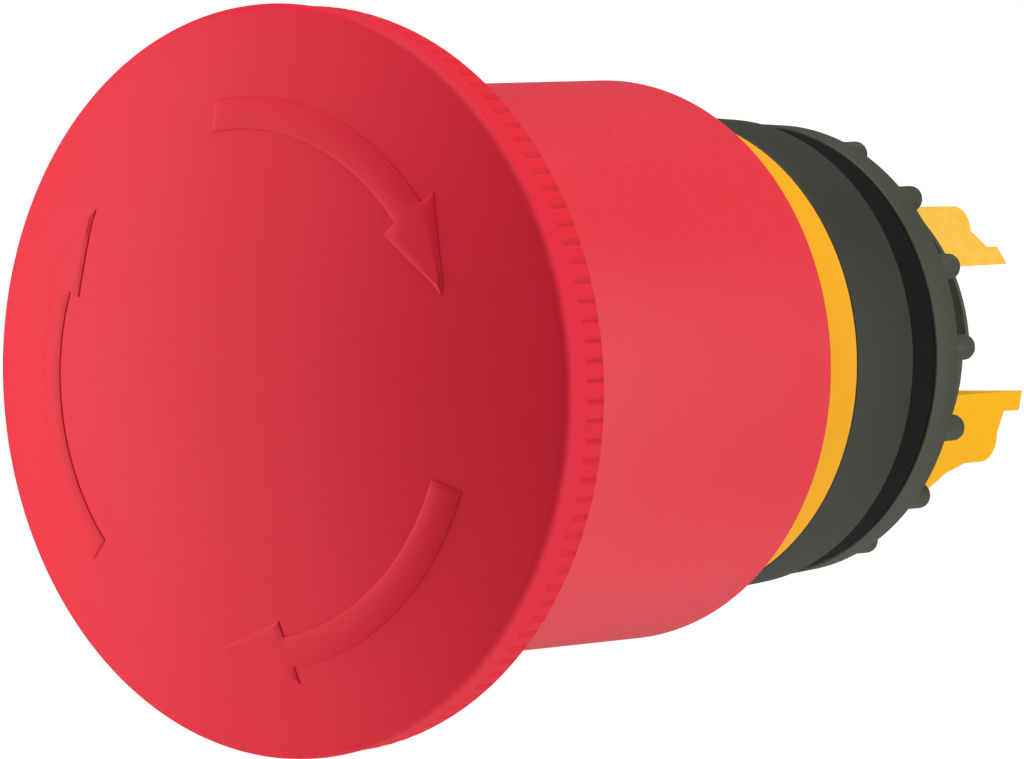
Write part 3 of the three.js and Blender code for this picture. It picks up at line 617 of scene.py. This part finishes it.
flare_r, room_front, room_rear = bore_r + 0.7, leg_root - 1, lower_tip + 1
barrel_room = turned(
    "barrel_room",
    [
        (axis_r, room_front),
        (plunger_r, room_front),
        (plunger_r, slant_start),
        (flare_r, slant_start),
        (flare_r, room_rear),
        (axis_r, room_rear),
    ],
    count=96,
)
legs = [
    side_plate("upper_leg", upper_outline, leg_half),
    side_plate("lower_leg", lower_outline, leg_half),
]
for leg in legs:
    work(leg, "BOOLEAN", object=barrel_room, operation="INTERSECT", solver="EXACT")
    ease(leg, 0.22, sharper_than=38, segments=3)
bpy.data.objects.remove(barrel_room)
fuse(plunger, legs)
ease(plunger, 0)
leg_yellow = finish_of(
    "leg_yellow",
    light=(0.90, 0.46, 0.012),
    deep=(0.84, 0.40, 0.009),
    rubbed=(0.95, 0.64, 0.14),
    roughness=(0.42, 0.55),
    grain=6000,
    relief=0.008,
    Specular_IOR_Level=0.1,
)
dress(plunger, leg_yellow, "carriage", "yellow_moulding", "plunger")

# ------------------------------------------------------------------ latch and cam
# The carrier slides on the stem with two sprung steel pins, and the cam that the head turns
# draws them in. Carrier and cam are natural acetal, the rest is spring steel. A washer spreads
# the return spring, and a circlip holds the head on the stem.
refinish(natural_acetal, "latch_carrier", "release_cam")
refinish(spring_steel, "spring_washer", "hub_clip", "torsion_spring")
refinish(spring_steel, "latch_pin_right", "latch_pin_left", "latch_spring_right", "latch_spring_left")

# ------------------------------------------------------------------ skirt
# Long drawn skirt of the head, moulded in signal red. A web near its front carries the hub
# that turns on the stem, with two keys for the cam and a post for the torsion spring.
signal_red = finish_of(
    "signal_red",
    light=(0.76, 0.019, 0.042),
    deep=(0.70, 0.014, 0.033),
    rubbed=(0.80, 0.06, 0.09),
    roughness=(0.38, 0.50),
    grain=6500,
    relief=0.010,
    drift=60,
    rub=0.4,
    Specular_IOR_Level=0.55,
)
skirt_r, skirt_draft, skirt_bore_r = skirt_high.x, 0.15, 16.0
web_front = clip_high.y + seat_gap
web_thickness, hub_length, hub_r = 2.0, 10.8, 6.6
web_rear, hub_rear = web_front + web_thickness, web_front + hub_length
front_edge, outer_round, inner_round = 0.2, 0.45, 0.3
drafted_r = skirt_r - skirt_draft
skirt_outline = [(skirt_r - front_edge, skirt_low.y), (skirt_r, skirt_low.y + front_edge)]
skirt_outline += rounded(drafted_r - outer_round, skirt_high.y - outer_round, outer_round, 0, 90, steps=5)
bore_edge = (skirt_bore_r + inner_round, skirt_high.y - inner_round)
skirt_outline += rounded(*bore_edge, inner_round, 90, 180, steps=3)
skirt_outline += [(skirt_bore_r, web_rear), (hub_r, web_rear), (hub_r, hub_rear)]
skirt_outline += [(stem_bore_r, hub_rear), (stem_bore_r, web_front), (skirt_bore_r, web_front)]
skirt_outline += [(skirt_bore_r, skirt_low.y)]
skirt = turned("red_skirt", skirt_outline, count=256)
key_half, key_height, key_end, sunk = 0.8, 1.3, 1.2, 1
keys = [
    brick(
        "key",
        (-key_half, web_rear + key_end, side * (hub_r - sunk)),
        (key_half, hub_rear - key_end, side * (hub_r + key_height)),
    )
    for side in (-1, 1)
]
post_r, post_height, post_x = 0.9, 2.6, 9.8
bpy.ops.object.select_all(action="DESELECT")
bpy.ops.mesh.primitive_cylinder_add(
    vertices=32,
    radius=post_r * MM,
    depth=(post_height + sunk) * MM,
    location=(-post_x * MM, (web_front + (sunk - post_height) / 2) * MM, 0),
    rotation=(math.pi / 2, 0, 0),
)
post = close_up(begin("post"))
fuse(skirt, [*keys, post])
ease(skirt, 0)
dress(skirt, signal_red, "head", "red_moulding", "palm_skirt")

# ------------------------------------------------------------------ palm cap
# Convex palm face with three raised arrows, moulded in signal red and snapped into the skirt.
# Its edge is rolled over into a drafted band, with fine short notches near its rear edge for
# the grip.
cap_low, cap_high = extent("palm_cap")
apex, rim_rear, rim = cap_low.y, cap_high.y, cap_high.x
dome, wall, roll, rim_draft = 56.0, 2.2, 0.7, 0.2
under, under_apex = dome - wall, apex + wall
roll_y = apex + dome - math.sqrt((dome - roll) ** 2 - (rim - roll) ** 2)
roll_start = -math.degrees(math.acos((rim - roll) / (dome - roll)))
notches, notch_depth, notch_length, notch_margin, columns = 120, 0.2, 1.7, 0.25, 4
rear_edge, band_swell, lip_swell, notch_lip, slack, band_depth = 0.3, 0.05, 0.06, 0.12, 0.05, 0.65
rim_bore_r, snap_r, snap_bore_r, snap_rear = 20.35, 15.7, 14.3, web_front - 0.5


def bulge(sphere, radius):
    """How far a spherical face has dropped back at a radius."""
    return sphere - math.sqrt(sphere * sphere - radius * radius)


def under_face(radius):
    """A point of the cap's inside at a radius."""
    return (radius, under_apex + bulge(under, radius))


cap_outline = [under_face(r) for r in (axis_r, 3, 6, 9, 12, snap_bore_r)]
cap_outline += [(snap_bore_r, snap_rear), (snap_r, snap_rear)]
cap_outline += [under_face(r) for r in (snap_r, 17, 18.7, rim_bore_r)]
cap_outline += [(rim_bore_r, rim_rear)]
band_r = rim - rim_draft
notch_front = rim_rear - notch_length
cap_outline += rounded(band_r - rear_edge, rim_rear - rear_edge, rear_edge, 90, 0, steps=3)
cap_outline += [(band_r + band_swell, notch_front), (band_r + lip_swell, notch_front - notch_lip)]
cap_outline += rounded(rim - roll, roll_y, roll, 0, roll_start, steps=6)
cap_outline += [(r, apex + bulge(dome, r)) for r in range(21, 0, -1)]
cap_outline += [(axis_r, apex + bulge(dome, axis_r))]
cap = turned("red_palm_cap", cap_outline, count=columns * notches)


def in_notch(place):
    """Whether a point lies on the band's outside in every fourth column, along the notch's length."""
    column = round(math.degrees(math.atan2(place.z, place.x)) * notches * columns / 360)
    along = notch_front - slack < place.y < rim_rear - notch_margin
    return column % columns == 0 and along and math.hypot(place.x, place.z) > rim - band_depth


bpy.ops.object.mode_set(mode="EDIT")
pick(cap, in_notch)
pinch = 1 - notch_depth / rim
bpy.ops.transform.resize(value=(pinch, 1, pinch), center_override=(0, rim_rear * MM, 0))
bpy.ops.object.mode_set(mode="OBJECT")

arrow_r, shaft_width, head_width = 16.2, 1.9, 3.85
arrow_step, arrow_flank, arrow_rise = 0.06, 0.24, 0.10
shaft_sweep, head_sweep, shaft_steps, head_steps = 60.0, 19.5, 40, 6
arrow_stand_off, arrow_root = 2, 1.2
wing = (head_width - shaft_width) / 2

bpy.ops.object.select_all(action="DESELECT")
bpy.ops.mesh.primitive_plane_add(size=shaft_width * MM, location=(arrow_r * MM, 0, 0))
arrow = begin("arrow")
pick(arrow, lambda place: place.y > 0)
bpy.ops.mesh.delete(type="VERT")
bpy.ops.mesh.select_all(action="SELECT")
bpy.ops.transform.translate(value=(0, shaft_width / 2 * MM, 0))
bpy.ops.mesh.subdivide(number_cuts=1)


def sweep(steps, degrees):
    """Spins the selected edge clockwise about the axis, as seen from in front of the head."""
    bpy.ops.mesh.spin(steps=steps, angle=-math.radians(degrees), center=(0, 0, 0), axis=(0, 1, 0))


def radial(degrees, distance):
    """A step away from the axis, in metres, at an angle clockwise from +X."""
    turn = math.radians(degrees)
    return Vector((math.cos(turn), 0, -math.sin(turn))) * distance * MM


sweep(shaft_steps, shaft_sweep)
for edge_r, side in ((arrow_r + shaft_width / 2, 1), (arrow_r - shaft_width / 2, -1)):
    corner = radial(shaft_sweep, edge_r) / MM
    pick(arrow, lambda place: (place - corner).length < 0.05)
    step = radial(shaft_sweep, side * wing)
    bpy.ops.mesh.extrude_region_move(TRANSFORM_OT_translate={"value": step})
barb = radial(shaft_sweep, 1) / MM
pick(arrow, lambda place: (place - barb * place.length).length < 0.02)


def straight_edge(start_r, share):
    """Radius of the straight line from a barb to the tip, at a share of the arrowhead's sweep."""
    full, part = math.radians(head_sweep), math.radians(head_sweep * share)
    return math.sin(full) / (math.sin(full - part) / start_r + math.sin(part) / arrow_r)


inner, outer = arrow_r - head_width / 2, arrow_r + head_width / 2
for i in range(1, head_steps):
    sweep(1, head_sweep / head_steps)
    next_inner = straight_edge(arrow_r - head_width / 2, i / head_steps)
    next_outer = straight_edge(arrow_r + head_width / 2, i / head_steps)
    turn = shaft_sweep + head_sweep * i / head_steps
    narrow = (next_outer - next_inner) / (outer - inner)
    middle_now = radial(turn, (inner + outer) / 2)
    bpy.ops.transform.resize(value=(narrow, 1, narrow), center_override=middle_now)
    bpy.ops.transform.translate(value=radial(turn, (next_inner + next_outer - inner - outer) / 2))
    inner, outer = next_inner, next_outer
sweep(1, head_sweep / head_steps)
bpy.ops.mesh.merge(type="CENTER")
bpy.ops.mesh.select_all(action="SELECT")
bpy.ops.transform.translate(value=(0, (apex - arrow_stand_off) * MM, 0))
bpy.ops.object.mode_set(mode="OBJECT")
work(
    arrow,
    "SHRINKWRAP",
    target=cap,
    wrap_method="PROJECT",
    use_project_y=True,
    use_positive_direction=True,
    use_negative_direction=False,
)
bpy.ops.object.mode_set(mode="EDIT")
bpy.ops.mesh.select_all(action="SELECT")
bpy.ops.mesh.normals_make_consistent(inside=False)
bpy.ops.object.mode_set(mode="OBJECT")
faces_rear = arrow.data.polygons[0].normal.y > 0
bpy.ops.object.mode_set(mode="EDIT")
bpy.ops.mesh.select_all(action="SELECT")
if faces_rear:
    bpy.ops.mesh.flip_normals()
bpy.ops.transform.translate(value=(0, -arrow_step * MM, 0))
bpy.ops.mesh.inset(thickness=arrow_flank * MM, depth=arrow_rise * MM)
bpy.ops.mesh.select_all(action="SELECT")
bpy.ops.mesh.extrude_region_move(TRANSFORM_OT_translate={"value": (0, arrow_root * MM, 0)})
close_up(arrow)


def turned_copy(piece, degrees):
    """A copy with its own mesh, turned about the axis, counterclockwise from in front of the head."""
    bpy.ops.object.select_all(action="DESELECT")
    piece.select_set(True)
    bpy.context.view_layer.objects.active = piece
    bpy.ops.object.duplicate(linked=False)
    twin = bpy.context.object
    twin.rotation_euler = (0, -math.radians(degrees), 0)
    bpy.ops.object.transform_apply(location=True, rotation=True, scale=True)
    return twin


palm_red = finish_of(
    "palm_red",
    light=(0.76, 0.018, 0.042),
    deep=(0.70, 0.013, 0.033),
    rubbed=(0.80, 0.06, 0.09),
    roughness=(0.50, 0.62),
    grain=6500,
    relief=0.012,
    drift=60,
    rub=0.15,
    Specular_IOR_Level=0.16,
)
arrow_tails = (98.4, 218.4, 338.4)
fuse(cap, [turned_copy(arrow, tail) for tail in arrow_tails])
bpy.data.objects.remove(arrow)
ease(cap, 0)
dress(cap, palm_red, "head", "red_moulding", "palm_cap")

# ------------------------------------------------------------------ ring nut
# Moulded ring nut that clamps the panel from behind, run up to the gasket while no panel is
# in. Sixteen rounded pegs on its rear face take the spanner.
nut_low, nut_high = extent("ring_nut")
nut_r, nut_taper, nut_bore_r, nut_edge = nut_high.x, 0.13, 11.3, 0.12
nut_round, nut_chamfer = 0.25, 0.3
pegs, peg_r, peg_inset, peg_height, peg_round = 16, 0.82, 0.15, 2.2, 0.6
nut_rear = nut_high.y - peg_height
nut_outline = rounded(nut_r - nut_edge, nut_low.y + nut_edge, nut_edge, -90, 0, steps=3)
nut_rear_edge = (nut_r - nut_taper - nut_round, nut_rear - nut_round)
nut_outline += rounded(*nut_rear_edge, nut_round, 0, 90, steps=3)
nut_outline += [(nut_bore_r + nut_chamfer, nut_rear), (nut_bore_r, nut_rear - nut_chamfer)]
nut_outline += [(nut_bore_r, nut_low.y + nut_chamfer), (nut_bore_r + nut_chamfer, nut_low.y)]
nut = turned("black_ring_nut", nut_outline)
bpy.ops.object.select_all(action="DESELECT")
peg_length, peg_circle_r = peg_height + sunk, nut_r - nut_taper - peg_inset - peg_r
peg_place = Vector((peg_circle_r, nut_high.y - peg_length / 2, 0)) * MM
bpy.ops.mesh.primitive_cylinder_add(
    vertices=40,
    radius=peg_r * MM,
    depth=peg_length * MM,
    location=peg_place,
    rotation=(math.pi / 2, 0, 0),
)
peg = begin("peg")
pick(peg, lambda place: place.y > nut_high.y - 0.01, "edges")
bpy.ops.mesh.bevel(offset=peg_round * MM, segments=6, affect="EDGES")
close_up(peg)
fuse(nut, [turned_copy(peg, i * 360 / pegs) for i in range(pegs)])
bpy.data.objects.remove(peg)
ease(nut, 0)
dress(nut, black_polyamide_painted_lift, "nut", "black_moulding", "ring_nut")

# ------------------------------------------------------------------ studio
# Pale table and white room, with a large soft box on the left of the head, another on its
# right, one above and a weak one below. The camera is a long lens in front, to the right.
bpy.ops.object.select_all(action="DESELECT")
table_drop = 280
bpy.ops.mesh.primitive_plane_add(size=30, location=(0, 0, cad_box[0].z - table_drop * MM))
table = bpy.context.object
table.name = table.data.name = "studio_table"
table_top = bpy.data.materials.new("pale_table_painted_glow")
table_top.use_nodes = True
nodes, links = table_top.node_tree.nodes, table_top.node_tree.links
shader = nodes["Principled BSDF"]
shader.inputs["Roughness"].default_value = 0.8
shader.inputs["Emission Color"].default_value = (1, 1, 1, 1)
place, cloud, tint = (nodes.new(f"ShaderNode{kind}") for kind in ("TexCoord", "TexNoise", "Mix"))
cloud.inputs["Scale"].default_value = 3
tint.data_type = "RGBA"
tint.inputs["A"].default_value = (0.72, 0.72, 0.72, 1)
tint.inputs["B"].default_value = (0.76, 0.76, 0.76, 1)
links.new(place.outputs["Object"], cloud.inputs["Vector"])
links.new(cloud.outputs["Fac"], tint.inputs["Factor"])
links.new(tint.outputs["Result"], shader.inputs["Base Color"])
# Painted light: the table glows to the camera only, from 0.62 within 0.1 m of the head to 0.98 from 0.4 m
# out, so that it stays white where the soft boxes fall off.
kinds = ("VectorMath", "MapRange", "Math", "LightPath")
reach, painted_table_glow, seen, ray = (nodes.new(f"ShaderNode{kind}") for kind in kinds)
reach.operation, seen.operation = "LENGTH", "MULTIPLY"
for socket, value in (("From Min", 0.1), ("From Max", 0.4), ("To Min", 0.62), ("To Max", 0.98)):
    painted_table_glow.inputs[socket].default_value = value
links.new(place.outputs["Object"], reach.inputs[0])
links.new(reach.outputs["Value"], painted_table_glow.inputs["Value"])
links.new(painted_table_glow.outputs["Result"], seen.inputs[0])
links.new(ray.outputs["Is Camera Ray"], seen.inputs[1])
links.new(seen.outputs[0], shader.inputs["Emission Strength"])
table.data.materials.append(table_top)

room = bpy.data.worlds.new("white_room")
bpy.context.scene.world = room
room.use_nodes = True
room_fill, room_seen = 0.14, 1.1
nodes, links = room.node_tree.nodes, room.node_tree.links
ray, level = nodes.new("ShaderNodeLightPath"), nodes.new("ShaderNodeMix")
level.inputs["A"].default_value = room_fill
level.inputs["B"].default_value = room_seen
links.new(ray.outputs["Is Camera Ray"], level.inputs["Factor"])
links.new(level.outputs["Result"], nodes["Background"].inputs["Strength"])
nodes["Background"].inputs["Color"].default_value = (1, 1, 1, 1)

button_middle = (cad_box[0] + cad_box[1]) / 2


def soft_box(name, azimuth, elevation, distance, width, height, power):
    """A soft box that faces the button. Azimuth 0 is in front of the head, 90 on its +X side."""
    around, up = math.radians(azimuth), math.radians(elevation)
    toward = Vector((math.sin(around) * math.cos(up), -math.cos(around) * math.cos(up), math.sin(up)))
    place = button_middle + toward * distance
    bpy.ops.object.light_add(type="AREA", location=place)
    box = bpy.context.object
    box.name = name
    box.data.shape = "RECTANGLE"
    box.data.size, box.data.size_y = width, height
    box.data.energy = power
    box.visible_camera = False
    box.rotation_euler = (button_middle - place).to_track_quat("-Z", "Y").to_euler()


soft_box("key_left", azimuth=-50, elevation=3, distance=0.4, width=0.36, height=0.56, power=2.2)
soft_box("fill_right", azimuth=114, elevation=0, distance=0.4, width=0.36, height=0.56, power=1.35)
soft_box("overhead", azimuth=110, elevation=80, distance=0.6, width=0.5, height=0.5, power=3.3)
soft_box("from_below", azimuth=110, elevation=-62, distance=0.3, width=0.3, height=0.3, power=0.33)

camera_place = Vector((396.22, -493.978, 19.841)) * MM
camera_right = Vector((0.76491, 0.64352, -0.02826))
camera_up = Vector((0.0, 0.04387, 0.99904))
camera_back = camera_right.cross(camera_up)
bpy.ops.object.camera_add()
camera = bpy.context.object
camera.name = "camera"
turn = Matrix((camera_right, camera_up, camera_back)).transposed()
camera.matrix_world = Matrix.Translation(camera_place) @ turn.to_4x4()
camera.data.sensor_width = 36
camera.data.lens = 351.5625
camera.data.clip_start = 0.05
camera.data.clip_end = 50
bpy.context.scene.camera = camera
bpy.context.scene.view_settings.view_transform = "Standard"
